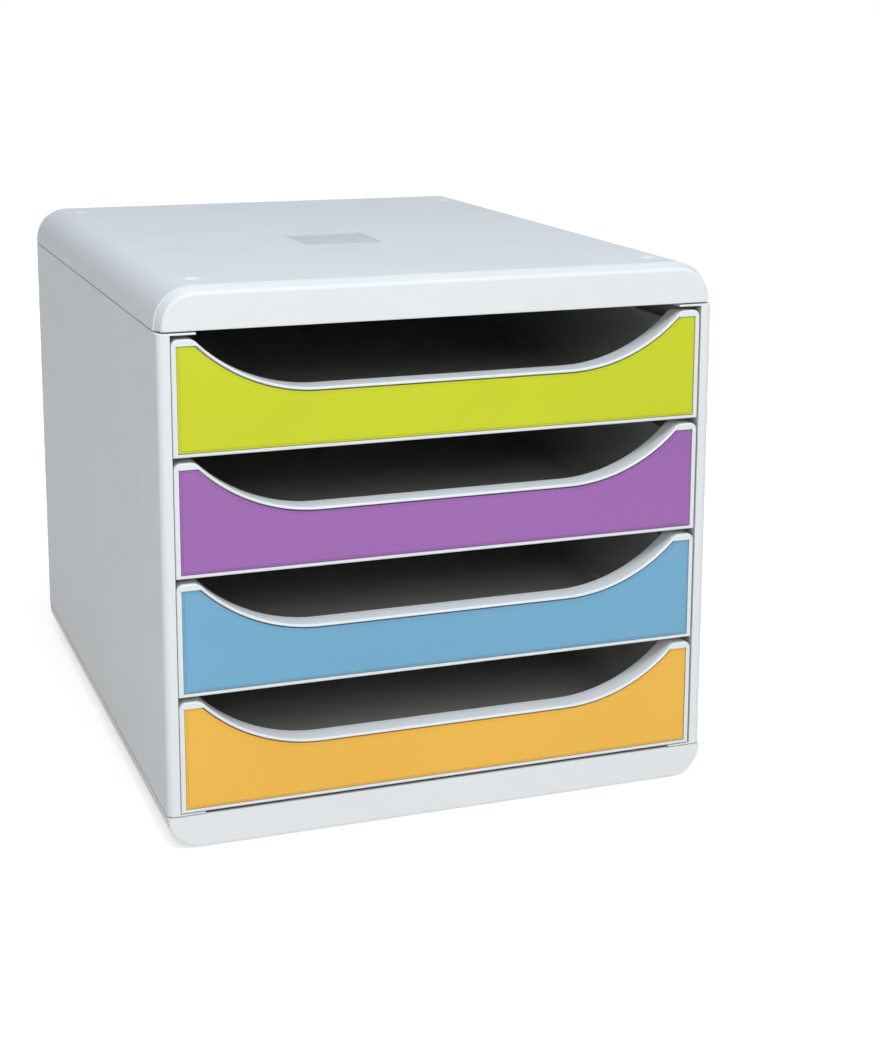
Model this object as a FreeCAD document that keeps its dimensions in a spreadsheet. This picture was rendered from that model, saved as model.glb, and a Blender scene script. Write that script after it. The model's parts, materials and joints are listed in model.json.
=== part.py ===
import FreeCAD, Part
import Sketcher
import math
import os
import re

# Desktop drawer unit: a light grey moulded casing with four drawers.
# Millimetres.  +Z is up, the drawers open towards -Y, and the origin is the
# centre of the footprint on the surface that the feet stand on.

V = FreeCAD.Vector
doc = FreeCAD.newDocument("drawer_unit")

# ------------------------------------------------------------------ dimensions
DIMS = [
    # casing envelope
    ("unit_w", 278.0, "overall width"),
    ("unit_d", 347.0, "overall depth"),
    ("unit_h", 267.0, "overall height with feet"),
    ("foot_drop", 0.6, "feet stand this far below the base"),
    ("base_top", 17.0, "height of the lower seam"),
    ("lid_bottom", 246.5, "height of the upper seam"),
    ("edge_round", 18.0, "radius along the long edges of the cover"),
    ("base_round", 15.5, "radius along the long edges of the base"),
    ("base_soft", 1.2, "rounding of the base's front edge"),
    ("base_gap", 0.25, "gap between the base's front wall and the side panels"),
    ("shell_wall", 2.4, "wall of cover, base and side panels"),
    ("lip_step", 0.5, "front lip of the cover sits this much inside"),
    ("lip_depth", 7.0, "depth of that front lip"),
    ("lip_draft", 2.0, "how far the band around the front lip leans inwards"),
    ("lip_round", 2.0, "radius between that band and the front face"),
    ("lip_edge", 0.35, "rounding of the edge that steps down to the lip"),
    ("lip_gap", 0.7, "shadow gap between the front lip and the side panels"),
    ("seam_chamfer", 0.4, "chamfer on the side panels' edge of each seam"),
    ("seam_slot", 0.5, "height of the shadow slot along the upper seams"),
    ("seam_low", 0.35, "height of the shadow slot along the lower seams"),
    ("seam_deep", 1.2, "depth of those slots"),
    ("rib_thick", 1.6, "stiffening ribs in cover and base"),
    ("rib_tall", 5.0, "height of those ribs"),
    ("rib_pitch", 62.0, "spacing of the long ribs"),
    ("dimple_round", 9.04, "spherical radius of the stacking dimples"),
    ("dimple_deep", 1.2, "depth of the stacking dimples"),
    ("foot_x", 116.0, "feet and dimples, from the centre plane"),
    ("foot_y", 147.0, "feet and dimples, from the middle"),
    ("plate_x", -11.0, "centre of the plain recess in the cover"),
    ("plate_y", -23.5, "centre of the plain recess in the cover"),
    ("plate_w", 42.0, "width of the plain recess"),
    ("plate_d", 45.0, "depth front to back of the plain recess"),
    ("plate_sink", 0.3, "how far the recess is sunk"),
    # side panels
    ("col_inner", 132.9, "inner edge of the front column, from the centre plane"),
    ("col_face", 2.4, "thickness of the column's front face"),
    ("col_return", 1.8, "thickness of the column's return, the drawer stop"),
    ("col_depth", 10.0, "depth of the column"),
    ("col_round", 3.4, "outer radius of the column"),
    ("flange_reach", 18.0, "inward reach of the flanges, from the outer face"),
    ("flange_thick", 0.9, "thickness of the flanges at the front"),
    ("flange_stiff", 0.7, "extra thickness of the flanges behind the front"),
    ("ledge_inner", 126.0, "inner edge of the runner ledges"),
    ("ledge_thick", 2.0, "thickness of the runner ledges"),
    ("ledge_gap", 0.4, "play between a drawer and its runner"),
    ("ledge_half", 158.0, "half length of the runner ledges"),
    ("groove_inner", 133.6, "inner edge of the ribs that hold the back panel"),
    ("hook_y", 118.0, "outer snap hooks, from the middle"),
    ("hook_w", 10.0, "width of a snap hook"),
    ("hook_thick", 1.8, "thickness of a snap hook"),
    ("hook_tall", 8.4, "height of a snap hook"),
    ("barb_reach", 3.0, "reach of the hook's barb"),
    ("barb_tall", 2.4, "height of the hook's barb"),
    ("catch_thick", 1.8, "thickness of a catch plate"),
    # back panel
    ("back_front", 168.2, "inner face of the back panel"),
    ("back_thick", 2.4, "thickness of the back panel"),
    ("back_half", 136.2, "half width of the back panel"),
    ("tongue_half", 119.6, "half width of its tongues"),
    ("tongue_tall", 4.0, "how far the tongues enter cover and base"),
    # drawers
    ("drawer_first", 18.2, "underside of the lowest drawer"),
    ("drawer_pitch", 57.0, "spacing of the drawers"),
    ("drawer_aside", -0.25, "the drawers sit this far to one side, within their play"),
    ("frame_half", 132.35, "half width of a drawer front"),
    ("frame_tall", 54.4, "height of a drawer front"),
    ("frame_deep", 12.3, "depth of the drawer front's rim"),
    ("frame_corner", 3.5, "radius of the drawer front's upper corners"),
    ("rim_flat", 28.7, "height of the rim in the cut-out"),
    ("rim_arc", 80.8, "radius of the cut-out's shoulders"),
    ("arc_x", 63.0, "centre of the shoulder arcs, from the centre plane"),
    ("shoulder_round", 6.0, "radius where the cut-out meets the top"),
    ("rim_wall", 2.2, "wall of the rim"),
    ("rim_soft", 0.7, "rounding of the rim's front edge"),
    ("recess_half", 130.0, "half width of the insert's recess"),
    ("recess_low", 1.6, "lower edge of the recess"),
    ("recess_top", 51.3, "upper edge of the recess"),
    ("recess_band", 1.2, "visible band between cut-out and recess"),
    ("recess_deep", 2.2, "depth of the recess"),
    ("web_thick", 2.2, "wall behind the insert"),
    ("tray_half", 130.2, "half width of the drawer tub"),
    ("tray_wall", 2.0, "wall of the drawer tub"),
    ("tray_floor", 2.0, "floor of the drawer tub"),
    ("tray_tall", 46.0, "height of the drawer tub"),
    ("tray_rear", 166.3, "rear face of the drawer tub"),
    ("tray_corner", 8.0, "radius of the tub's rear corners"),
    ("travel", 225.0, "travel of a drawer to its stop"),
    ("lug_reach", 135.2, "outer face of the stop lugs"),
    ("lug_long", 8.0, "length of a stop lug"),
    ("lug_low", 31.0, "lower face of a stop lug"),
    ("lug_high", 42.0, "upper face of a stop lug"),
    # inserts
    ("insert_play", 0.2, "gap around the insert"),
    ("insert_top_play", 0.8, "gap along the cut-out"),
    ("insert_thick", 2.0, "thickness of the insert"),
    ("insert_sink", 0.1, "the insert lies this far below the frame's face"),
    ("insert_soft", 0.25, "rounding of the insert's front edge"),
    ("field_margin", 1.2, "margin around the insert's raised field"),
    ("field_raise", 0.3, "how far that field is raised"),
    ("field_soft", 0.12, "rounding of the field's edge"),
    ("insert_shoulder", 2.5, "radius where the insert's cut-out meets its top"),
    ("insert_corner", 0.8, "radius of the insert's outer corners"),
    ("peg_r", 2.0, "radius of the insert's pegs"),
    ("peg_hole_r", 2.15, "radius of the holes for the pegs"),
    ("peg_long", 2.9, "length of the pegs"),
    ("peg_low", 13.0, "height of the lower pegs"),
    ("peg_high", 41.0, "height of the upper pegs"),
    ("peg_in", 40.0, "inner lower pegs, from the centre plane"),
    ("peg_out", 114.0, "outer lower pegs, from the centre plane"),
    ("peg_top", 121.0, "upper pegs, from the centre plane"),
    # feet
    ("foot_r", 4.2, "radius of a foot"),
    ("foot_tall", 1.6, "height of a foot's head"),
    ("foot_soft", 0.5, "rounding of a foot"),
    ("stem_r", 1.95, "radius of a foot's stem"),
    ("stem_hole_r", 2.05, "radius of the hole for the stem"),
    ("stem_top", 4.6, "top of the stem"),
    ("foot_seat_r", 4.4, "radius of the seat in the base"),
]

dims = doc.addObject("Spreadsheet::Sheet", "dims")
for row, (alias, number, note) in enumerate(DIMS, start=1):
    dims.set("A%d" % row, note)
    dims.set("B%d" % row, str(number))
    dims.setAlias("B%d" % row, alias)
doc.recompute()
NAMES = {alias for alias, _, _ in DIMS}


def bind(text):
    """The same formula, with each dimension named as a cell of the sheet."""
    return re.sub(r"[a-z_]+", lambda m: "dims." + m.group(0)
                  if m.group(0) in NAMES else m.group(0), text)


def val(alias):
    return float(dims.get(alias))


# ------------------------------------------------------------------ primitives
def place(obj, x, y, z):
    for axis, text in zip("xyz", (x, y, z)):
        obj.setExpression("Placement.Base." + axis, bind(text))


def box(name, x0, x1, y0, y1, z0, z1):
    obj = doc.addObject("Part::Box", name)
    for prop, lo, hi in (("Length", x0, x1), ("Width", y0, y1), ("Height", z0, z1)):
        obj.setExpression(prop, bind("(%s) - (%s)" % (hi, lo)))
    place(obj, x0, y0, z0)
    return obj


def side_box(name, side, x0, x1, y0, y1, z0, z1):
    """A box between two distances from the centre plane, on the given side."""
    if side > 0:
        return box(name, x0, x1, y0, y1, z0, z1)
    return box(name, "-(%s)" % x1, "-(%s)" % x0, y0, y1, z0, z1)


def cyl_y(name, x, z, radius, y0, y1):
    obj = doc.addObject("Part::Cylinder", name)
    obj.Placement = FreeCAD.Placement(V(0, 0, 0), FreeCAD.Rotation(V(1, 0, 0), -90))
    obj.setExpression("Radius", bind(radius))
    obj.setExpression("Height", bind("(%s) - (%s)" % (y1, y0)))
    place(obj, x, y0, z)
    return obj


def cyl_z(name, x, y, radius, z0, z1):
    obj = doc.addObject("Part::Cylinder", name)
    obj.setExpression("Radius", bind(radius))
    obj.setExpression("Height", bind("(%s) - (%s)" % (z1, z0)))
    place(obj, x, y, z0)
    return obj


def fuse(name, objs):
    obj = doc.addObject("Part::MultiFuse", name)
    obj.Shapes = objs
    obj.Refine = True
    return obj


def cut(name, base, tool):
    obj = doc.addObject("Part::Cut", name)
    obj.Base = base
    obj.Tool = tool
    obj.Refine = True
    return obj


def near(a, b, tol=0.02):
    return abs(a - b) < tol


def on_edges(kind, name, base, size, wanted):
    """Round (Part::Fillet) or bevel (Part::Chamfer) the edges that wanted() picks."""
    doc.recompute()
    picks = [i for i, e in enumerate(base.Shape.Edges, start=1) if wanted(e.BoundBox, e)]
    if not picks:
        raise RuntimeError("no edges found for " + name)
    obj = doc.addObject(kind, name)
    obj.Base = base
    obj.Edges = [(i, size, size) for i in picks]
    return obj


def fillet(name, base, size, wanted):
    return on_edges("Part::Fillet", name, base, size, wanted)


def chamfer(name, base, size, wanted):
    return on_edges("Part::Chamfer", name, base, size, wanted)


def lean(name, base, at_y, inward, back, wanted):
    """Bevel the outline of a front face at y, by one distance on that face and another behind it."""
    obj = chamfer(name, base, inward, wanted)
    edges = []
    for i, _, _ in obj.Edges:
        edge = base.Shape.Edges[i - 1]
        first = next(f for f in base.Shape.Faces if any(e.isSame(edge) for e in f.Edges))
        front = near(first.BoundBox.YMin, at_y) and first.BoundBox.YLength < 0.02
        edges.append((i, inward, back) if front else (i, back, inward))
    obj.Edges = edges
    return obj


nodes = []


def node(obj, label):
    obj.Label = label
    nodes.append((label, obj))
    return obj


HW, HD = val("unit_w") / 2, val("unit_d") / 2
SIDES = ((-1, "left"), (1, "right"))
ENDS = ((-1, "front"), (1, "rear"))


def along_y(at_x, at_z):
    def pick(bb, e):
        return (bb.YLength > 1 and bb.XLength < 0.02 and bb.ZLength < 0.02
                and near(abs(bb.Center.x), at_x) and near(bb.Center.z, at_z))
    return pick


# ------------------------------------------------------------------ cover and base
BIG = "-unit_w", "unit_w", "-unit_d", "unit_d"


def rear_edges(crown):
    return lambda bb, e: near(bb.YMin, HD) and (near(bb.Center.z, crown)
                                                or bb.ZLength > 14 and bb.XLength > 14)


def outline_edges(at_y):
    """Edges around a shell's front face, without those along its seam."""
    def pick(bb, e):
        seam = any(near(bb.Center.z, val(h), 0.5) for h in ("lid_bottom", "base_top"))
        return near(bb.YMax, at_y) and not (seam and (bb.XLength > 100 or bb.ZLength < 0.6 and bb.XLength > 0.02))
    return pick


def cavity(tag, far, deep, crown, radius, up):
    """The room inside a shell, with its own long radii."""
    lo, hi = sorted((far, deep), key=lambda t: t == (far if up > 0 else deep))
    room = box(tag + "_cavity", "-(unit_w/2 - shell_wall)", "unit_w/2 - shell_wall",
               "-unit_d/2 + shell_wall", "unit_d/2 - shell_wall", lo, hi)
    wall = val("shell_wall")
    return fillet(tag + "_cavity_round", room, radius - wall, along_y(HW - wall, crown - up * wall))


def seam_slots(tag, front, z0, z1):
    """Space of the shadow slots along both side seams of a shell."""
    return fuse(tag, [side_box("%s_%s" % (tag, sname), side, "unit_w/2 - seam_deep", "unit_w/2 + 2",
                               front, "unit_d/2 + 2", z0, z1) for side, sname in SIDES])


def cover_shell():
    """Outer form and room of the cover: a rounded block with a front lip set inside it.

    Blocks are made taller than the cover, so that the long radius fits, and cut at the seam."""
    crown = val("unit_h")
    deep = "unit_h - 40"
    floor = crown - 40
    step_y = -HD + val("lip_depth")
    main = box("cover_main", "-unit_w/2", "unit_w/2", "-unit_d/2 + lip_depth", "unit_d/2", deep, "unit_h")
    main = fillet("cover_main_round", main, val("edge_round"), along_y(HW, crown))
    main = fillet("cover_rear_round", main, 1.0, rear_edges(crown))
    lip = box("cover_lip", "-(unit_w/2 - lip_step)", "unit_w/2 - lip_step", "-unit_d/2",
              "-unit_d/2 + lip_depth + 4", deep, "unit_h - lip_step")
    lip = fillet("cover_lip_round", lip, val("edge_round") - val("lip_step"),
                 along_y(HW - val("lip_step"), crown - val("lip_step")))

    def rim(bb, e):
        return near(bb.YMax, -HD) and not near(bb.Center.z, floor)
    lip = lean("cover_lip_band", lip, -HD, val("lip_draft"), val("lip_depth") - 0.5, rim)
    lip = fillet("cover_lip_front", lip, val("lip_round"), rim)
    main = cut("cover_main_cut", main, box("cover_main_off", *BIG, "lid_bottom - 60", "lid_bottom"))
    main = fillet("cover_step_round", main, val("lip_edge"), outline_edges(step_y))
    main = cut("cover_seam", main, seam_slots("cover_slot", "-unit_d/2 + lip_depth - 2",
                                              "lid_bottom - 2", "lid_bottom + seam_slot"))
    lip = cut("cover_lip_cut", lip, box("cover_lip_off", *BIG, "lid_bottom - 60", "lid_bottom + lip_gap"))
    lip = fillet("cover_lip_soft", lip, 0.5,
                 lambda bb, e: near(bb.YMax, -HD) and bb.XLength > 100
                 and near(bb.Center.z, val("lid_bottom") + val("lip_gap")))
    room = cavity("cover", "unit_h - shell_wall", "unit_h - 60", crown, val("edge_round"), 1)
    room = chamfer("cover_cavity_front", room, val("lip_draft"),
                   lambda bb, e: near(bb.YMax, -HD + val("shell_wall")) and not near(bb.Center.z, crown - 60))
    return fuse("cover_outer", [main, lip]), room


def base_shell():
    """Outer form and room of the base, a plain tray whose front edge is only softened."""
    crown = val("foot_drop")
    main = box("base_main", "-unit_w/2", "unit_w/2", "-unit_d/2", "unit_d/2", "foot_drop", "foot_drop + 40")
    main = fillet("base_main_round", main, val("base_round"), along_y(HW, crown))
    main = fillet("base_rear_round", main, 1.0, rear_edges(crown))
    main = cut("base_main_cut", main, box("base_main_off", *BIG, "base_top", "base_top + 60"))
    main = fillet("base_front_round", main, val("base_soft"), outline_edges(-HD))
    main = cut("base_seam", main, seam_slots("base_slot", "-unit_d/2 - 2",
                                             "base_top - seam_low", "base_top + 2"))
    main = cut("base_front_cut", main, box("base_front_off", "-unit_w", "unit_w", "-unit_d",
                                           "-unit_d/2 + shell_wall + 0.3",
                                           "base_top - base_gap", "base_top + 60"))
    return main, cavity("base", "foot_drop + shell_wall", "foot_drop + 60", crown, val("base_round"), -1)


def stiffeners(tag, lid):
    """Ribs and snap-catch plates that stand on the inside of a shell."""
    def span(name, x0, x1, y0, y1, near_wall, depth):
        if lid:
            return box(name, x0, x1, y0, y1, "unit_h - shell_wall - (%s)" % depth,
                       "unit_h - shell_wall + 0.5")
        return box(name, x0, x1, y0, y1, "foot_drop + shell_wall - 0.5",
                   "foot_drop + shell_wall + (%s)" % depth)

    out = []
    for i in (-1, 0, 1):
        out.append(span("%s_rib_%d" % (tag, i + 1), "%d*rib_pitch - rib_thick/2" % i,
                        "%d*rib_pitch + rib_thick/2" % i, "-unit_d/2 + 12", "unit_d/2 - 12",
                        None, "rib_tall"))
    for i in (-1, 1):
        out.append(span("%s_cross_%d" % (tag, i + 1), "-rib_pitch - 40", "rib_pitch + 40",
                        "%d*80 - rib_thick/2" % i, "%d*80 + rib_thick/2" % i, None, "rib_tall"))
    # each catch plate has a window for the barb of one snap hook
    depth = ("unit_h - shell_wall - lid_bottom - 0.8" if lid
             else "base_top - 0.8 - foot_drop - shell_wall")
    x_in = "unit_w/2 - flange_reach - 0.3 - catch_thick - 1"
    windows = []
    for side, sname in SIDES:
        for i in (-1, 0, 1):
            name = "%s_catch_%s_%d" % (tag, sname, i + 1)
            x0, x1 = x_in, "%s + catch_thick" % x_in
            if side < 0:
                x0, x1 = "-(%s)" % x1, "-(%s)" % x0
            y0, y1 = "%d*hook_y - hook_w/2 - 3" % i, "%d*hook_y + hook_w/2 + 3" % i
            out.append(span(name, x0, x1, y0, y1, None, depth))
            if lid:
                w0 = "lid_bottom + hook_tall - barb_tall - 0.6"
                w1 = "lid_bottom + hook_tall + 0.3"
            else:
                w0 = "base_top - hook_tall - 0.3"
                w1 = "base_top - hook_tall + barb_tall + 0.6"
            windows.append(box(name + "_window", x0 + " - 1", x1 + " + 1",
                               "%d*hook_y - hook_w/2 - 0.5" % i,
                               "%d*hook_y + hook_w/2 + 0.5" % i, w0, w1))
    return out, windows


outer, room = cover_shell()
tools = [room]
for sx, sname in SIDES:
    for sy, ename in ENDS:
        ball = doc.addObject("Part::Sphere", "dimple_%s_%s" % (ename, sname))
        ball.setExpression("Radius", bind("dimple_round"))
        place(ball, "%d*foot_x" % sx, "%d*foot_y" % sy, "unit_h + dimple_round - dimple_deep")
        tools.append(ball)
plate = box("cover_plate", "plate_x - plate_w/2", "plate_x + plate_w/2",
            "plate_y - plate_d/2", "plate_y + plate_d/2", "unit_h - plate_sink", "unit_h + 5")
plate = fillet("cover_plate_round", plate, 3.0, lambda bb, e: bb.ZLength > 3)
tools.append(plate)
hollow = cut("cover_hollow", outer, fuse("cover_tools", tools))
ribs, windows = stiffeners("cover", True)
ribbed = fuse("cover_ribbed", [hollow] + ribs)
node(cut("top_cover", ribbed, fuse("cover_windows", windows)), "top_cover")

outer, room = base_shell()
tools = [room]
for sx, sname in SIDES:
    for sy, ename in ENDS:
        x, y = "%d*foot_x" % sx, "%d*foot_y" % sy
        tools.append(cyl_z("seat_%s_%s" % (ename, sname), x, y, "foot_seat_r",
                           "-5", "foot_tall"))
        tools.append(cyl_z("stem_hole_%s_%s" % (ename, sname), x, y, "stem_hole_r",
                           "-5", "foot_drop + shell_wall + 2"))
hollow = cut("base_hollow", outer, fuse("base_tools", tools))
ribs, windows = stiffeners("base", False)
ribbed = fuse("base_ribbed", [hollow] + ribs)
node(cut("base_tray", ribbed, fuse("base_windows", windows)), "base_tray")


# ------------------------------------------------------------------ side panels
def side_panel(side, sname):
    t = sname + "_"
    front, rear = "-unit_d/2", "unit_d/2"
    bits = [
        side_box(t + "wall", side, "unit_w/2 - shell_wall", "unit_w/2", front, rear,
                 "base_top", "lid_bottom"),
        side_box(t + "column", side, "col_inner", "unit_w/2", front,
                 front + " + col_face", "base_top", "lid_bottom"),
        side_box(t + "return", side, "col_inner", "col_inner + col_return", front,
                 front + " + col_depth", "base_top", "lid_bottom"),
        side_box(t + "flange_top", side, "unit_w/2 - flange_reach", "unit_w/2", front, rear,
                 "lid_bottom - flange_thick", "lid_bottom"),
        side_box(t + "flange_low", side, "unit_w/2 - flange_reach", "unit_w/2", front, rear,
                 "base_top", "base_top + flange_thick"),
        side_box(t + "stiff_top", side, "unit_w/2 - flange_reach", "unit_w/2 - shell_wall - 0.4",
                 front + " + shell_wall + 0.5", rear + " - shell_wall - 0.5",
                 "lid_bottom - flange_thick", "lid_bottom + flange_stiff"),
        side_box(t + "stiff_low", side, "unit_w/2 - flange_reach", "unit_w/2 - shell_wall - 0.4",
                 front + " + shell_wall + 0.5", rear + " - shell_wall - 0.5",
                 "base_top - flange_stiff", "base_top + flange_thick"),
        side_box(t + "groove_in", side, "groove_inner", "unit_w/2", "back_front - 1.6",
                 "back_front - 0.3", "base_top", "lid_bottom"),
        side_box(t + "groove_out", side, "groove_inner", "unit_w/2",
                 "back_front + back_thick + 0.3", rear, "base_top", "lid_bottom"),
    ]
    # runner ledges for the three upper drawers; the lowest runs on the flange
    for k in (1, 2, 3):
        top = "drawer_first + %d*drawer_pitch - ledge_gap" % k
        bits.append(side_box("%sledge_%d" % (t, k), side, "ledge_inner", "unit_w/2",
                             "-ledge_half", "ledge_half", top + " - ledge_thick", top))
    body = fuse(t + "body", bits)
    body = fillet(t + "front_round", body, val("col_round"),
                  lambda bb, e: bb.ZLength > 200 and near(bb.YMax, -HD)
                  and near(abs(bb.Center.x), HW))
    body = fillet(t + "inner_round", body, 0.3,
                  lambda bb, e: bb.ZLength > 200 and near(bb.YMax, -HD)
                  and near(abs(bb.Center.x), val("col_inner")))
    body = chamfer(t + "seams", body, val("seam_chamfer"),
                   lambda bb, e: bb.YLength > 200 and near(abs(bb.Center.x), HW)
                   and (near(bb.Center.z, val("base_top")) or near(bb.Center.z, val("lid_bottom"))))
    hooks = []
    x0 = "unit_w/2 - flange_reach + 0.2"
    for i in (-1, 0, 1):
        y0, y1 = "%d*hook_y - hook_w/2" % i, "%d*hook_y + hook_w/2" % i
        n = "%shook_%d" % (t, i + 1)
        hooks += [
            side_box(n + "_up", side, x0, x0 + " + hook_thick", y0, y1,
                     "lid_bottom - 0.5", "lid_bottom + hook_tall"),
            side_box(n + "_up_barb", side, x0 + " - barb_reach", x0 + " + 0.5", y0, y1,
                     "lid_bottom + hook_tall - barb_tall", "lid_bottom + hook_tall"),
            side_box(n + "_low", side, x0, x0 + " + hook_thick", y0, y1,
                     "base_top - hook_tall", "base_top + 0.5"),
            side_box(n + "_low_barb", side, x0 + " - barb_reach", x0 + " + 0.5", y0, y1,
                     "base_top - hook_tall", "base_top - hook_tall + barb_tall"),
        ]
    node(fuse(t + "side_panel", [body] + hooks), t + "side_panel")


for side, sname in SIDES:
    side_panel(side, sname)


# ------------------------------------------------------------------ sketches
def plane(body, role):
    return [f for f in body.Origin.OriginFeatures if f.Role == role][0]


def sketch_on(body, name, role):
    sk = body.newObject("Sketcher::SketchObject", name)
    sk.AttachmentSupport = (plane(body, role), [""])
    sk.MapMode = "FlatFace"
    return sk


def dim(sk, kind, args, text):
    """A driving dimension of a sketch, bound to the sheet."""
    i = sk.addConstraint(Sketcher.Constraint(kind, *args))
    sk.renameConstraint(i, "d%d" % i)
    sk.setExpression("Constraints.d%d" % i, bind(text))
    return i


def rect(sk, x0, x1, y0, y1, guess):
    """A rectangle whose four sides are bound to the sheet."""
    gx0, gx1, gy0, gy1 = guess
    pts = [V(gx0, gy0, 0), V(gx1, gy0, 0), V(gx1, gy1, 0), V(gx0, gy1, 0)]
    g = sk.addGeometry([Part.LineSegment(pts[i], pts[(i + 1) % 4]) for i in range(4)], False)
    for i in range(4):
        sk.addConstraint(Sketcher.Constraint("Coincident", g[i], 2, g[(i + 1) % 4], 1))
    for i in (0, 2):
        sk.addConstraint(Sketcher.Constraint("Horizontal", g[i]))
    for i in (1, 3):
        sk.addConstraint(Sketcher.Constraint("Vertical", g[i]))
    dim(sk, "DistanceX", (-1, 1, g[0], 1, gx0), x0)
    dim(sk, "DistanceX", (-1, 1, g[0], 2, gx1), x1)
    dim(sk, "DistanceY", (-1, 1, g[0], 1, gy0), y0)
    dim(sk, "DistanceY", (-1, 1, g[2], 1, gy1), y1)


def offset_y(sk, text):
    """Slide a sketch on the XZ plane along the unit's depth, to y = text."""
    sk.setExpression("AttachmentOffset.Base.z", bind("-(%s)" % text))


# ------------------------------------------------------------------ back panel
back = doc.addObject("PartDesign::Body", "back_panel")
s = sketch_on(back, "back_outline", "XZ_Plane")
offset_y(s, "back_front")
bh, zl, zh = val("back_half"), val("base_top") + 1.9, val("lid_bottom") - 1.9
rect(s, "-back_half", "back_half", "base_top + flange_thick + 0.3",
     "lid_bottom - flange_thick - 0.3", (-bh, bh, zl, zh))
doc.recompute()
p = back.newObject("PartDesign::Pad", "back_sheet")
p.Profile = s
p.setExpression("Length", bind("back_thick"))
p.Reversed = True
s = sketch_on(back, "tongue_outline", "XZ_Plane")
offset_y(s, "back_front")
th = val("tongue_half")
rect(s, "-tongue_half", "tongue_half", "base_top - tongue_tall", "lid_bottom + tongue_tall",
     (-th, th, val("base_top") - 4, val("lid_bottom") + 4))
doc.recompute()
p = back.newObject("PartDesign::Pad", "back_tongues")
p.Profile = s
p.setExpression("Length", bind("back_thick"))
p.Reversed = True
doc.recompute()
full = back.Shape.Volume
# three shallow fields on the outside stiffen the sheet
for i in (-1, 0, 1):
    s = sketch_on(back, "field_outline_%d" % (i + 1), "XZ_Plane")
    offset_y(s, "back_front + back_thick")
    mid = (val("base_top") + val("lid_bottom")) / 2 + i * 70
    rect(s, "-108", "108", "(base_top + lid_bottom)/2 + %d" % (i * 70 - 28),
         "(base_top + lid_bottom)/2 + %d" % (i * 70 + 28), (-108, 108, mid - 28, mid + 28))
    doc.recompute()
    q = back.newObject("PartDesign::Pocket", "field_%d" % (i + 1))
    q.Profile = s
    q.Length = 0.8
    doc.recompute()
    if not back.Shape.Volume < full - 100:
        q.Reversed = True
        doc.recompute()
    full = back.Shape.Volume
node(back, "back_panel")


# ------------------------------------------------------------------ drawers
def notch(name, flat, arc, y0, y1):
    """The space of the cut-out: a flat floor between two shoulder arcs."""
    mid = box(name + "_mid", "-arc_x", "arc_x", y0, y1, flat, "frame_tall + 8")
    lobes = [cyl_y("%s_lobe_%s" % (name, sname), "%d*arc_x" % side, "rim_flat + rim_arc",
                   arc, y0, y1) for side, sname in SIDES]
    return fuse(name, [mid] + lobes)


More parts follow.
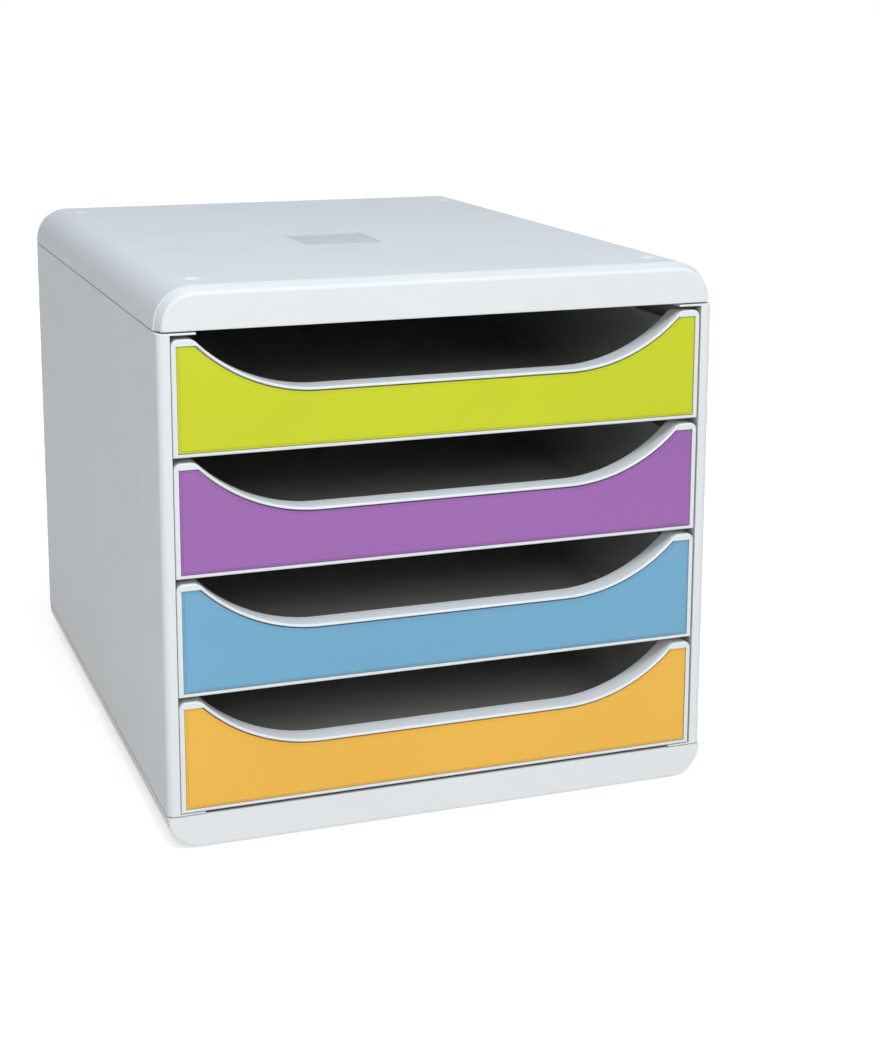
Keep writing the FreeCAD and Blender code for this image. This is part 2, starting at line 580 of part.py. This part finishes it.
def drawer_tray(number, k):
    t = "d%d_" % number
    face = "-unit_d/2"
    web0 = face + " + recess_deep"
    web1 = web0 + " + web_thick"
    rim1 = face + " + frame_deep"
    top = val("frame_tall")
    # drawer front: block, rounded corners, cut-out, rounded shoulders, soft edges
    block = box(t + "block", "-frame_half", "frame_half", face, rim1, "0", "frame_tall")
    block = fillet(t + "corners", block, val("frame_corner"), along_y(val("frame_half"), top))
    block = cut(t + "notched", block,
                notch(t + "notch", "rim_flat", "rim_arc", face + " - 5", rim1 + " + 5"))
    shoulder = val("arc_x") + (val("rim_arc") ** 2 - (val("rim_flat") + val("rim_arc") - top) ** 2) ** 0.5
    block = fillet(t + "shoulders", block, val("shoulder_round"), along_y(shoulder, top))
    block = fillet(t + "soft_front", block, val("rim_soft"), lambda bb, e: near(bb.YMax, -HD))
    rear_y = -HD + val("frame_deep")
    block = fillet(t + "soft_rear", block, 0.7, lambda bb, e: near(bb.YMin, rear_y)
                   and bb.ZMax > 20 and not (bb.ZLength > 40 and bb.XLength < 0.02))
    # recess for the insert in front, hollow behind the rim
    recess = cut(t + "recess",
                 box(t + "recess_box", "-recess_half", "recess_half", face + " - 5", web0,
                     "recess_low", "recess_top"),
                 notch(t + "recess_notch", "rim_flat - recess_band", "rim_arc + recess_band",
                       face + " - 6", web0 + " + 1"))
    hollow = cut(t + "hollow",
                 box(t + "hollow_box", "-(frame_half - rim_wall)", "frame_half - rim_wall",
                     web1, rim1 + " + 5", "tray_floor", "frame_tall - rim_wall"),
                 notch(t + "hollow_notch", "rim_flat - rim_wall", "rim_arc + rim_wall",
                       web1 + " - 1", rim1 + " + 6"))
    front = cut(t + "front_recessed", block, recess)
    front = cut(t + "front_hollow", front, hollow)
    # tub
    tub = box(t + "tub_block", "-tray_half", "tray_half", web1 + " - 0.8", "tray_rear",
              "0", "tray_tall")
    rear = val("tray_rear")
    tub = fillet(t + "tub_corners", tub, val("tray_corner"),
                 lambda bb, e: bb.ZLength > 20 and near(bb.Center.y, rear))
    # the tub is open in front, where the drawer front closes it
    room = box(t + "room", "-(tray_half - tray_wall)", "tray_half - tray_wall", web1 + " - 4",
               "tray_rear - tray_wall", "tray_floor", "tray_tall + 10")
    room_rear = rear - val("tray_wall")
    room = fillet(t + "room_corners", room, val("tray_corner") - val("tray_wall"),
                  lambda bb, e: bb.ZLength > 20 and near(bb.Center.y, room_rear))
    floor_z = val("tray_floor")
    room = fillet(t + "room_floor", room, 2.0, lambda bb, e: near(bb.ZMax, floor_z)
                  and bb.YMax > -HD + 20)
    tub = cut(t + "tub", tub, room)
    tub = fillet(t + "tub_top", tub, 0.7, lambda bb, e: near(bb.ZMin, val("tray_tall"))
                 and bb.YMax > -HD + 20)
    # stop lugs, which meet the returns of the side panels at full travel
    lugs = []
    lug_y = face + " + col_depth + travel + 0.5"
    for side, sname in SIDES:
        lugs.append(side_box("%slug_%s" % (t, sname), side, "tray_half - 0.5", "lug_reach",
                             lug_y, lug_y + " + lug_long", "lug_low", "lug_high"))
    whole = fuse(t + "whole", [front, tub] + lugs)
    whole = chamfer(t + "lug_lead", whole, 3.0,
                    lambda bb, e: bb.ZLength > 9 and near(abs(bb.Center.x), val("lug_reach"))
                    and bb.Center.y > -HD + val("col_depth") + val("travel") + 4)
    holes = []
    for side, sname in SIDES:
        for pos, (x, z) in {"in": ("peg_in", "peg_low"), "out": ("peg_out", "peg_low"),
                            "up": ("peg_top", "peg_high")}.items():
            holes.append(cyl_y("%shole_%s_%s" % (t, sname, pos), "%d*%s" % (side, x), z,
                               "peg_hole_r", web0 + " - 1", web1 + " + 2"))
    tray = cut("drawer_tray_%d" % number, whole, fuse(t + "holes", holes))
    tray.setExpression("Placement.Base.x", bind("drawer_aside"))
    tray.setExpression("Placement.Base.z", bind("drawer_first + %d*drawer_pitch" % k))
    node(tray, "drawer_tray_%d" % number)


for number in (1, 2, 3, 4):
    drawer_tray(number, 4 - number)


# ------------------------------------------------------------------ inserts
def insert_outline(body, name, margin, y):
    """Sketch of an insert's outline, drawn in by a margin, at the depth y.

    Returns the sketch, its half width and where its cut-out meets the top."""
    s = sketch_on(body, name, "XZ_Plane")
    offset_y(s, y)
    m = val(margin) if margin else 0.0
    less, more = (" - " + margin, " + " + margin) if margin else ("", "")
    w = val("recess_half") - val("insert_play") - m
    lo = val("recess_low") + val("insert_play") + m
    hi = val("recess_top") - val("insert_play") - m
    ax = val("arc_x")
    cz = val("rim_flat") + val("rim_arc")
    r = val("rim_arc") + val("recess_band") + val("insert_top_play") + m
    flat = cz - r
    dx = ax + (r ** 2 - (cz - hi) ** 2) ** 0.5
    a, b, c, d = V(-w, lo, 0), V(w, lo, 0), V(w, hi, 0), V(dx, hi, 0)
    e, f, g, h = V(ax, flat, 0), V(-ax, flat, 0), V(-dx, hi, 0), V(-w, hi, 0)
    # both arcs run anticlockwise about their own centres
    lean = math.atan2(hi - cz, dx - ax)
    right_arc = Part.ArcOfCircle(Part.Circle(V(ax, cz, 0), V(0, 0, 1), r), -math.pi / 2, lean)
    left_arc = Part.ArcOfCircle(Part.Circle(V(-ax, cz, 0), V(0, 0, 1), r),
                                math.pi - lean, 1.5 * math.pi)
    ids = s.addGeometry([Part.LineSegment(a, b), Part.LineSegment(b, c), Part.LineSegment(c, d),
                         right_arc, Part.LineSegment(e, f), left_arc,
                         Part.LineSegment(g, h), Part.LineSegment(h, a)], False)

    def ends(i, want):
        """Which end of geometry i lies at the point (arcs keep their own sense)."""
        geo = s.Geometry[i]
        return 1 if (geo.StartPoint - want).Length < (geo.EndPoint - want).Length else 2

    corners = (b, c, d, e, f, g, h, a)
    for i, point in enumerate(corners):
        j = (i + 1) % 8
        s.addConstraint(Sketcher.Constraint("Coincident", ids[i], ends(ids[i], point),
                                            ids[j], ends(ids[j], point)))
    for i in (0, 2, 6):
        s.addConstraint(Sketcher.Constraint("Horizontal", ids[i]))
    for i in (1, 7):
        s.addConstraint(Sketcher.Constraint("Vertical", ids[i]))
    half = "recess_half - insert_play" + less
    dim(s, "DistanceX", (-1, 1, ids[0], ends(ids[0], a), -w), "-(%s)" % half)
    dim(s, "DistanceX", (-1, 1, ids[0], ends(ids[0], b), w), half)
    dim(s, "DistanceY", (-1, 1, ids[0], ends(ids[0], a), lo), "recess_low + insert_play" + more)
    dim(s, "DistanceY", (-1, 1, ids[2], ends(ids[2], c), hi), "recess_top - insert_play" + less)
    dim(s, "DistanceY", (-1, 1, ids[6], ends(ids[6], h), hi), "recess_top - insert_play" + less)
    for i, x in ((3, 1), (5, -1)):
        dim(s, "DistanceX", (-1, 1, ids[i], 3, x * ax), "%d*arc_x" % x)
        dim(s, "DistanceY", (-1, 1, ids[i], 3, cz), "rim_flat + rim_arc")
        dim(s, "Radius", (ids[i], r), "rim_arc + recess_band + insert_top_play" + more)
    dim(s, "DistanceX", (-1, 1, ids[4], ends(ids[4], e), ax), "arc_x")
    dim(s, "DistanceX", (-1, 1, ids[4], ends(ids[4], f), -ax), "-arc_x")
    doc.recompute()
    return s, w, dx


def soften(body, last, tag, w, dx, y_front, radii):
    """Round the corners of a plate, and then the edge around its front face."""
    def pick(wanted):
        return ["Edge%d" % i for i, ed in enumerate(last.Shape.Edges, start=1)
                if near(ed.BoundBox.YMin, y_front) and wanted(ed.BoundBox)]

    for part, radius, wanted in (
            ("shoulders", radii[0], lambda bb: bb.YLength > 0.1 and bb.XLength < 0.02
             and near(abs(bb.Center.x), dx, 0.2)),
            ("corners", radii[1], lambda bb: bb.YLength > 0.1 and bb.XLength < 0.02
             and near(abs(bb.Center.x), w)),
            ("soft", radii[2], lambda bb: bb.YLength < 0.02)):
        turn = body.newObject("PartDesign::Fillet", tag + "_" + part)
        turn.Base = (last, pick(wanted))
        turn.setExpression("Radius", bind(radius))
        doc.recompute()
        last = turn
    return last


def front_insert(colour, k):
    body = doc.addObject("PartDesign::Body", "front_insert_" + colour)
    # thin plate, and a field on it that stands proud inside a narrow margin
    s, w, dx = insert_outline(body, colour + "_outline", "",
                              "-unit_d/2 + insert_sink + field_raise")
    p = body.newObject("PartDesign::Pad", colour + "_plate")
    p.Profile = s
    p.setExpression("Length", bind("insert_thick - field_raise"))
    p.Reversed = True
    doc.recompute()
    soften(body, p, colour + "_plate", w, dx, -HD + val("insert_sink") + val("field_raise"),
           ("insert_shoulder", "insert_corner", "insert_soft"))
    s, w, dx = insert_outline(body, colour + "_field_outline", "field_margin",
                              "-unit_d/2 + insert_sink")
    p = body.newObject("PartDesign::Pad", colour + "_field")
    p.Profile = s
    p.setExpression("Length", bind("field_raise + 0.2"))
    p.Reversed = True
    doc.recompute()
    soften(body, p, colour + "_field", w, dx, -HD + val("insert_sink"),
           ("insert_shoulder", "insert_corner", "field_soft"))
    s = sketch_on(body, colour + "_pegs", "XZ_Plane")
    offset_y(s, "-unit_d/2 + insert_sink + insert_thick - 0.2")
    for side in (-1, 1):
        for x, z in (("peg_in", "peg_low"), ("peg_out", "peg_low"), ("peg_top", "peg_high")):
            i = s.addGeometry(Part.Circle(V(side * val(x), val(z), 0), V(0, 0, 1),
                                          val("peg_r")), False)
            dim(s, "DistanceX", (-1, 1, i, 3, side * val(x)), "%d*%s" % (side, x))
            dim(s, "DistanceY", (-1, 1, i, 3, val(z)), z)
            dim(s, "Radius", (i, val("peg_r")), "peg_r")
    doc.recompute()
    q = body.newObject("PartDesign::Pad", colour + "_peg_pad")
    q.Profile = s
    q.setExpression("Length", bind("peg_long + 0.2"))
    q.Reversed = True
    body.setExpression("Placement.Base.x", bind("drawer_aside"))
    body.setExpression("Placement.Base.z", bind("drawer_first + %d*drawer_pitch" % k))
    doc.recompute()
    node(body, "front_insert_" + colour)


for colour, k in (("green", 3), ("purple", 2), ("blue", 1), ("orange", 0)):
    front_insert(colour, k)


# ------------------------------------------------------------------ feet
def foot(ename, sy, sname, sx):
    label = "foot_%s_%s" % (ename, sname)
    body = doc.addObject("PartDesign::Body", label)
    s = sketch_on(body, label + "_half_section", "XZ_Plane")
    r, sr, ft, st = val("foot_r"), val("stem_r"), val("foot_tall"), val("stem_top")
    pts = [V(0, 0, 0), V(r, 0, 0), V(r, ft, 0), V(sr, ft, 0), V(sr, st, 0), V(0, st, 0)]
    g = s.addGeometry([Part.LineSegment(pts[i], pts[(i + 1) % 6]) for i in range(6)], False)
    for i in range(6):
        s.addConstraint(Sketcher.Constraint("Coincident", g[i], 2, g[(i + 1) % 6], 1))
    for i in (0, 2, 4):
        s.addConstraint(Sketcher.Constraint("Horizontal", g[i]))
    for i in (1, 3, 5):
        s.addConstraint(Sketcher.Constraint("Vertical", g[i]))
    s.addConstraint(Sketcher.Constraint("Coincident", g[0], 1, -1, 1))
    dim(s, "DistanceX", (-1, 1, g[0], 2, r), "foot_r")
    dim(s, "DistanceY", (-1, 1, g[1], 2, ft), "foot_tall")
    dim(s, "DistanceX", (-1, 1, g[3], 1, sr), "stem_r")
    dim(s, "DistanceY", (-1, 1, g[4], 1, st), "stem_top")
    doc.recompute()
    rev = body.newObject("PartDesign::Revolution", label + "_turned")
    rev.Profile = s
    rev.ReferenceAxis = (s, ["V_Axis"])
    rev.Angle = 360
    doc.recompute()
    picks = ["Edge%d" % i for i, ed in enumerate(rev.Shape.Edges, start=1)
             if near(ed.BoundBox.ZMax, 0) and near(ed.BoundBox.XMax, r)]
    soft = body.newObject("PartDesign::Fillet", label + "_soft")
    soft.Base = (rev, picks)
    soft.setExpression("Radius", bind("foot_soft"))
    body.setExpression("Placement.Base.x", bind("%d*foot_x" % sx))
    body.setExpression("Placement.Base.y", bind("%d*foot_y" % sy))
    doc.recompute()
    node(body, label)


for sy, ename in ENDS:
    for sx, sname in SIDES:
        foot(ename, sy, sname, sx)

# ------------------------------------------------------------------ check and write
doc.recompute()
for obj in doc.Objects:
    if "Invalid" in obj.State or "Error" in obj.State:
        raise RuntimeError("failed feature: %s %s" % (obj.Name, obj.State))
os.makedirs("parts", exist_ok=True)
total = 0.0
for label, obj in nodes:
    shape = obj.Shape
    if shape.isNull() or not shape.isValid():
        raise RuntimeError("bad shape: " + label)
    if len(shape.Solids) != 1:
        raise RuntimeError("%s has %d solids" % (label, len(shape.Solids)))
    solid = shape.Solids[0]
    bb = solid.optimalBoundingBox()
    total += solid.Volume
    print("%-22s %8.2f cm3  x %7.2f %7.2f  y %7.2f %7.2f  z %7.2f %7.2f" % (
        label, solid.Volume / 1000, bb.XMin, bb.XMax, bb.YMin, bb.YMax, bb.ZMin, bb.ZMax))
    solid.exportStep("parts/%s.step" % label)
print("nodes %d, volume %.1f cm3" % (len(nodes), total / 1000))
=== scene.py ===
import bpy
import json
import math
from mathutils import Matrix, Vector

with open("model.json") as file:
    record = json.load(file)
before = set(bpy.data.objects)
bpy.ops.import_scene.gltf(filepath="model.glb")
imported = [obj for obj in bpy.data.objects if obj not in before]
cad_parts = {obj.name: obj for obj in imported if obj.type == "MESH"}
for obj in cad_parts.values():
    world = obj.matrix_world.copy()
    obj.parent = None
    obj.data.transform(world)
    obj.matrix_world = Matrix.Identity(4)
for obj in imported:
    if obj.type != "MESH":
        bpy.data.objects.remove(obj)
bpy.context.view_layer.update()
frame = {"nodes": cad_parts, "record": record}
scene = bpy.context.scene
scene.view_settings.view_transform = "Standard"
scene.view_settings.look = "None"
nodes = frame["nodes"]

# ------------------------------------------------------------------ camera
# an image of 880 x 1056 pixels, seen from the front left and a little above
YAW, PITCH, ROLL = 0.3534, 0.1903, 0.0033
cam_data = bpy.data.cameras.new("camera")
cam_data.sensor_fit = "AUTO"
cam_data.sensor_width = 36.0
cam_data.lens = 1923.61 / 1056 * 36.0
cam_data.shift_y = -0.15
cam_data.clip_start = 0.05
cam_data.clip_end = 50.0
cam = bpy.data.objects.new("camera", cam_data)
fwd = Vector((math.sin(YAW) * math.cos(PITCH), math.cos(YAW) * math.cos(PITCH), -math.sin(PITCH)))
right = Vector((math.cos(YAW), -math.sin(YAW), 0.0))
up = right.cross(fwd)
cx = math.cos(ROLL) * right + math.sin(ROLL) * up
cy = -math.sin(ROLL) * right + math.cos(ROLL) * up
m = Matrix((cx, cy, -fwd)).transposed().to_4x4()
m.translation = Vector((-0.31215, -1.00770, 0.39348))
cam.matrix_world = m
scene.collection.objects.link(cam)
scene.camera = cam


# ------------------------------------------------------------------ materials
def new_material(name):
    mat = bpy.data.materials.new(name)
    mat.use_nodes = True
    tree = mat.node_tree
    tree.nodes.clear()
    out = tree.nodes.new("ShaderNodeOutputMaterial")
    bsdf = tree.nodes.new("ShaderNodeBsdfPrincipled")
    tree.links.new(bsdf.outputs["BSDF"], out.inputs["Surface"])
    return mat, tree, bsdf


def noise(tree, coord, scale, detail=2.0, rough=0.5):
    n = tree.nodes.new("ShaderNodeTexNoise")
    n.inputs["Scale"].default_value = scale
    n.inputs["Detail"].default_value = detail
    n.inputs["Roughness"].default_value = rough
    tree.links.new(coord, n.inputs["Vector"])
    return n


def ramp(tree, fac, stops):
    r = tree.nodes.new("ShaderNodeValToRGB")
    el = r.color_ramp.elements
    while len(el) > 1:
        el.remove(el[-1])
    el[0].position, el[0].color = stops[0][0], (*stops[0][1], 1.0)
    for pos, col in stops[1:]:
        e = el.new(pos)
        e.color = (*col, 1.0)
    tree.links.new(fac, r.inputs["Fac"])
    return r


def spread(tree, fac, lo, hi, a=0.3, b=0.7):
    r = tree.nodes.new("ShaderNodeMapRange")
    r.inputs["From Min"].default_value = a
    r.inputs["From Max"].default_value = b
    r.inputs["To Min"].default_value = lo
    r.inputs["To Max"].default_value = hi
    tree.links.new(fac, r.inputs["Value"])
    return r


def math2(tree, op, x, y):
    m = tree.nodes.new("ShaderNodeMath")
    m.operation = op
    for socket, v in zip(m.inputs, (x, y)):
        if isinstance(v, (int, float)):
            socket.default_value = v
        else:
            tree.links.new(v, socket)
    return m.outputs["Value"]


def inside(tree, coord, middle, half_size):
    """1 inside an upright box of the object, 0 outside it."""
    sep = tree.nodes.new("ShaderNodeSeparateXYZ")
    tree.links.new(coord, sep.inputs["Vector"])
    total = None
    for axis, c, h in zip("XYZ", middle, half_size):
        off = math2(tree, "SUBTRACT", sep.outputs[axis], c)
        hit = math2(tree, "LESS_THAN", math2(tree, "ABSOLUTE", off, 0.0), h)
        total = hit if total is None else math2(tree, "MULTIPLY", total, hit)
    return total


def plastic(name, dark, light, rough, grain, grain_deep, specular=0.5, pebble=0.0, patch=None):
    """Moulded plastic: faint clouding of the colour, uneven sheen, and a fine grain.

    A patch is a box of the object in which the surface is smooth, with a colour of its own."""
    mat, tree, bsdf = new_material(name)
    coord = tree.nodes.new("ShaderNodeTexCoord").outputs["Object"]
    cloud = noise(tree, coord, 9.0, 3.0, 0.55)
    tint = ramp(tree, cloud.outputs["Fac"], [(0.30, dark), (0.70, light)])
    colour = tint.outputs["Color"]
    sheen = noise(tree, coord, 38.0, 4.0, 0.6)
    r = spread(tree, sheen.outputs["Fac"], rough[0], rough[1])
    gloss = r.outputs["Result"]
    if patch:
        middle, half_size, tone, smooth = patch
        where = inside(tree, coord, middle, half_size)
        blend = tree.nodes.new("ShaderNodeMixRGB")
        tree.links.new(where, blend.inputs["Fac"])
        tree.links.new(colour, blend.inputs["Color1"])
        blend.inputs["Color2"].default_value = (*tone, 1.0)
        colour = blend.outputs["Color"]
        gloss = math2(tree, "SUBTRACT", gloss, math2(tree, "MULTIPLY", where, smooth))
    tree.links.new(colour, bsdf.inputs["Base Color"])
    tree.links.new(gloss, bsdf.inputs["Roughness"])
    bsdf.inputs["Specular IOR Level"].default_value = specular
    bsdf.inputs["IOR"].default_value = 1.5
    fine = noise(tree, coord, grain, 2.0, 0.55)
    bump = tree.nodes.new("ShaderNodeBump")
    bump.inputs["Strength"].default_value = 1.0
    bump.inputs["Distance"].default_value = grain_deep
    tree.links.new(fine.outputs["Fac"], bump.inputs["Height"])
    last = bump
    if pebble:
        wide = noise(tree, coord, grain * 0.32, 1.0, 0.5)
        second = tree.nodes.new("ShaderNodeBump")
        second.inputs["Strength"].default_value = 1.0
        second.inputs["Distance"].default_value = pebble
        tree.links.new(wide.outputs["Fac"], second.inputs["Height"])
        tree.links.new(bump.outputs["Normal"], second.inputs["Normal"])
        last = second
    tree.links.new(last.outputs["Normal"], bsdf.inputs["Normal"])
    return mat


MATERIALS = {
    "casing_grey": plastic("casing_grain_grey", (0.537, 0.540, 0.521), (0.554, 0.557, 0.537),
                           (0.50, 0.60), 1500.0, 0.00006, specular=0.2, pebble=0.00008),
    "drawer_grey": plastic("drawer_satin_grey", (0.530, 0.536, 0.518), (0.546, 0.552, 0.534),
                           (0.34, 0.44), 1900.0, 0.000018, specular=0.35),
    "insert_green": plastic("insert_green_satin", (0.405, 0.430, 0.003), (0.430, 0.455, 0.005),
                            (0.34, 0.42), 1900.0, 0.000012, specular=0.35),
    "insert_purple": plastic("insert_purple_satin", (0.232, 0.084, 0.272), (0.248, 0.092, 0.290),
                             (0.34, 0.42), 1900.0, 0.000012, specular=0.35),
    "insert_blue": plastic("insert_blue_satin", (0.108, 0.263, 0.374), (0.118, 0.281, 0.396),
                           (0.34, 0.42), 1900.0, 0.000012, specular=0.35),
    "insert_orange": plastic("insert_orange_satin", (0.594, 0.318, 0.033), (0.624, 0.338, 0.039),
                             (0.34, 0.42), 1900.0, 0.000012, specular=0.35),
    "foot_rubber": plastic("foot_rubber_matt", (0.24, 0.245, 0.25), (0.29, 0.295, 0.30),
                           (0.70, 0.85), 2200.0, 0.00006, specular=0.3),
}
# the cover has the same plastic, polished in the floor of its shallow recess
COVER = plastic("cover_grain_grey", (0.537, 0.540, 0.521), (0.554, 0.557, 0.537),
                (0.50, 0.60), 1500.0, 0.00006, specular=0.2, pebble=0.00008,
                patch=((-0.011, -0.0235, 0.2667), (0.0212, 0.0227, 0.0002), (0.515, 0.522, 0.510), 0.20))
for sub in frame["record"]["subparts"]:
    obj = nodes[sub["node"]]
    mat = COVER if sub["node"] == "top_cover" else MATERIALS[sub["material_slot"]]
    if not obj.material_slots:
        obj.data.materials.append(mat)
    for s in obj.material_slots:
        s.material = mat

# ------------------------------------------------------------------ floor and light
floor_mat, tree, bsdf = new_material("floor_pale")
coord = tree.nodes.new("ShaderNodeTexCoord").outputs["Object"]
tint = ramp(tree, noise(tree, coord, 3.0, 3.0).outputs["Fac"],
            [(0.3, (0.500, 0.495, 0.485)), (0.7, (0.512, 0.507, 0.497))])
tree.links.new(tint.outputs["Color"], bsdf.inputs["Base Color"])
bsdf.inputs["Roughness"].default_value = 0.8
bsdf.inputs["Specular IOR Level"].default_value = 0.15
# the floor glows, with emission though it is no lamp: this painted light keeps the floor white where the object's
# shadow falls and lights the object from below
bsdf.inputs["Emission Color"].default_value = (1.0, 0.98, 0.955, 1.0)
bsdf.inputs["Emission Strength"].default_value = 0.56
half = 150.0
me = bpy.data.meshes.new("floor")
me.from_pydata([(-half, -half, 0), (half, -half, 0), (half, half, 0), (-half, half, 0)], [], [(0, 1, 2, 3)])
me.materials.append(floor_mat)
floor = bpy.data.objects.new("floor", me)
scene.collection.objects.link(floor)

# a wide studio tent: bright overhead and in front, dim to the left and rear, and a
# plain white backdrop behind everything
world = bpy.data.worlds.new("studio")
world.use_nodes = True
tree = world.node_tree
tree.nodes.clear()
out = tree.nodes.new("ShaderNodeOutputWorld")
bg = tree.nodes.new("ShaderNodeBackground")
backdrop = tree.nodes.new("ShaderNodeBackground")
backdrop.inputs["Color"].default_value = (1.0, 1.0, 1.0, 1.0)
rays = tree.nodes.new("ShaderNodeLightPath")
either = tree.nodes.new("ShaderNodeMixShader")
tree.links.new(rays.outputs["Is Camera Ray"], either.inputs["Fac"])
tree.links.new(bg.outputs["Background"], either.inputs[1])
tree.links.new(backdrop.outputs["Background"], either.inputs[2])
tree.links.new(either.outputs["Shader"], out.inputs["Surface"])
sky = tree.nodes.new("ShaderNodeTexCoord").outputs["Generated"]
sep = tree.nodes.new("ShaderNodeSeparateXYZ")
tree.links.new(sky, sep.inputs["Vector"])


def across(axis, stops):
    """Brightness along one axis of the sky, from -1 to 1."""
    where = spread(tree, sep.outputs[axis], 0.0, 1.0, -1.0, 1.0)
    return ramp(tree, where.outputs["Result"], [(0.5 + 0.5 * x, (v, v, v)) for x, v in stops])


def times(x, y):
    m = tree.nodes.new("ShaderNodeVectorMath")
    m.operation = "MULTIPLY"
    tree.links.new(x, m.inputs[0])
    tree.links.new(y, m.inputs[1])
    return m.outputs["Vector"]


side = across("X", [(-1.0, 0.03), (-0.75, 0.07), (-0.5, 0.38), (-0.2, 0.82), (0.1, 1.0), (0.45, 0.50), (1.0, 0.12)])
depth = across("Y", [(-1.0, 0.45), (-0.75, 0.8), (-0.5, 2.0), (-0.3, 2.0), (-0.1, 1.0), (0.25, 0.35), (1.0, 0.25)])
height = ramp(tree, sep.outputs["Z"], [(0.0, (0.195, 0.20, 0.205)), (0.2, (0.27, 0.28, 0.29)),
                                       (0.45, (0.48, 0.50, 0.53)), (0.72, (1.84, 2.00, 2.26)),
                                       (1.0, (2.15, 2.36, 2.70))])
tent = times(times(side.outputs["Color"], depth.outputs["Color"]), height.outputs["Color"])
tree.links.new(tent, bg.inputs["Color"])
bg.inputs["Strength"].default_value = 1.10
scene.world = world


def softbox(name, at, to, size, power, colour=(1, 1, 1), glossy=True):
    light = bpy.data.lights.new(name, "AREA")
    light.shape = "RECTANGLE"
    light.size, light.size_y = size
    light.energy = power
    light.color = colour
    obj = bpy.data.objects.new(name, light)
    obj.location = at
    obj.rotation_mode = "QUATERNION"
    obj.rotation_quaternion = (Vector(to) - Vector(at)).to_track_quat("-Z", "Y")
    obj.visible_camera = False
    obj.visible_glossy = glossy
    scene.collection.objects.link(obj)
    return obj


softbox("key", (-0.15, -0.72, 1.15), (0.0, -0.17, 0.15), (0.8, 0.4), 5.2, (0.93, 1.0, 1.12))
softbox("fill", (-0.20, -1.45, 0.82), (0.0, -0.17, 0.15), (0.9, 0.4), 6.6, (1.0, 0.99, 0.98))
softbox("rear", (0.45, 1.55, 0.45), (0.0, 0.17, 0.13), (1.2, 0.5), 3.2, glossy=False)
